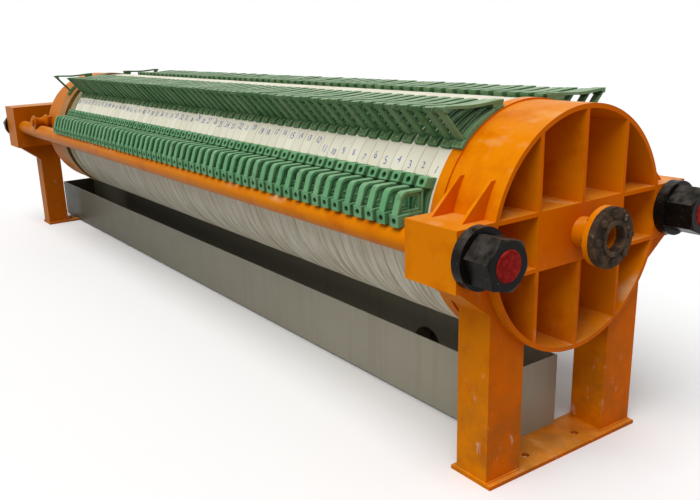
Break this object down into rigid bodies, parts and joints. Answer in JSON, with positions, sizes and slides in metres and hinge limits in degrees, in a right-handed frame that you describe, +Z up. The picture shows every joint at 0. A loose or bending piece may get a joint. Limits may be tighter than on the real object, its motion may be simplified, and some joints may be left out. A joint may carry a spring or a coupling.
{
  "type": "round-plate filter press",
  "caption": "Long filter press: ribbed round feed head, two tie rods carrying a pack of round plates with cast handles, sliding follower, tail crosshead with closing ram and drip trough.",
  "frame": {"origin": "on the floor under the middle of the overall length, on the machine's centre plane", "axes": "+X along the machine to the feed head, -Y the operator's side, +Z up"},
  "size_m": [5.749, 1.164, 1.2563],
  "materials": {
    "orange_paint": "semi-gloss enamel, worn and splashed",
    "green_casting": "painted green casting",
    "filter_plate": "cream moulded plastic",
    "black_steel": "black oiled steel",
    "rusty_steel": "rusty",
    "sheet_steel": "dull sheet",
    "bright_steel": "ground and plated",
    "stained_iron": "stained casting"
  },
  "bodies": {
    "frame": {"crosshead_bottom_plate": "orange_paint", "crosshead_ends": "orange_paint", "crosshead_front_web": "orange_paint", "crosshead_rear_web": "orange_paint", "crosshead_top_plate": "orange_paint", "feed_counter_flange": "rusty_steel", "feed_pipe": "orange_paint", "filter_plates": "filter_plate", "head_base_plate": "orange_paint", "head_collar_far": "black_steel", "head_collar_near": "black_steel", "head_disc": "orange_paint", "head_front_panel": "orange_paint", "head_gussets": "orange_paint", "head_handles": "green_casting", "head_leg_far": "orange_paint", "head_leg_near": "orange_paint", "head_lug_far": "orange_paint", "head_lug_near": "orange_paint", "head_nut_far": "black_steel", "head_nut_near": "black_steel", "head_ribs": "orange_paint", "head_rim": "orange_paint", "ram_cylinder": "orange_paint", "side_handles_far": "green_casting", "side_handles_near": "green_casting", "tail_base_plate": "orange_paint", "tail_collar_far": "black_steel", "tail_collar_near": "black_steel", "tail_leg_far": "orange_paint", "tail_leg_near": "orange_paint", "tail_nut_far": "black_steel", "tail_nut_near": "black_steel", "tie_rod_far": "orange_paint", "tie_rod_near": "orange_paint", "trough_drain": "sheet_steel", "trough_far_side": "sheet_steel", "trough_floor": "sheet_steel", "trough_head_end": "sheet_steel", "trough_near_side": "sheet_steel", "trough_tail_end": "sheet_steel", "upper_handles_far": "green_casting", "upper_handles_near": "green_casting"},
    "follower": {"follower_axle_far": "bright_steel", "follower_axle_near": "bright_steel", "follower_bracket_far": "orange_paint", "follower_bracket_near": "orange_paint", "follower_drum": "orange_paint", "follower_handles": "green_casting", "follower_pressure_disc": "stained_iron", "follower_ribs": "orange_paint", "follower_roller_far": "orange_paint", "follower_roller_near": "orange_paint", "closing_ram": "bright_steel"}
  },
  "joints": [
    {"name": "follower_slide", "type": "slide", "parent": "frame", "child": "follower", "axis": [-1, 0, 0], "range_m": [0, 0.38]}
  ]
}
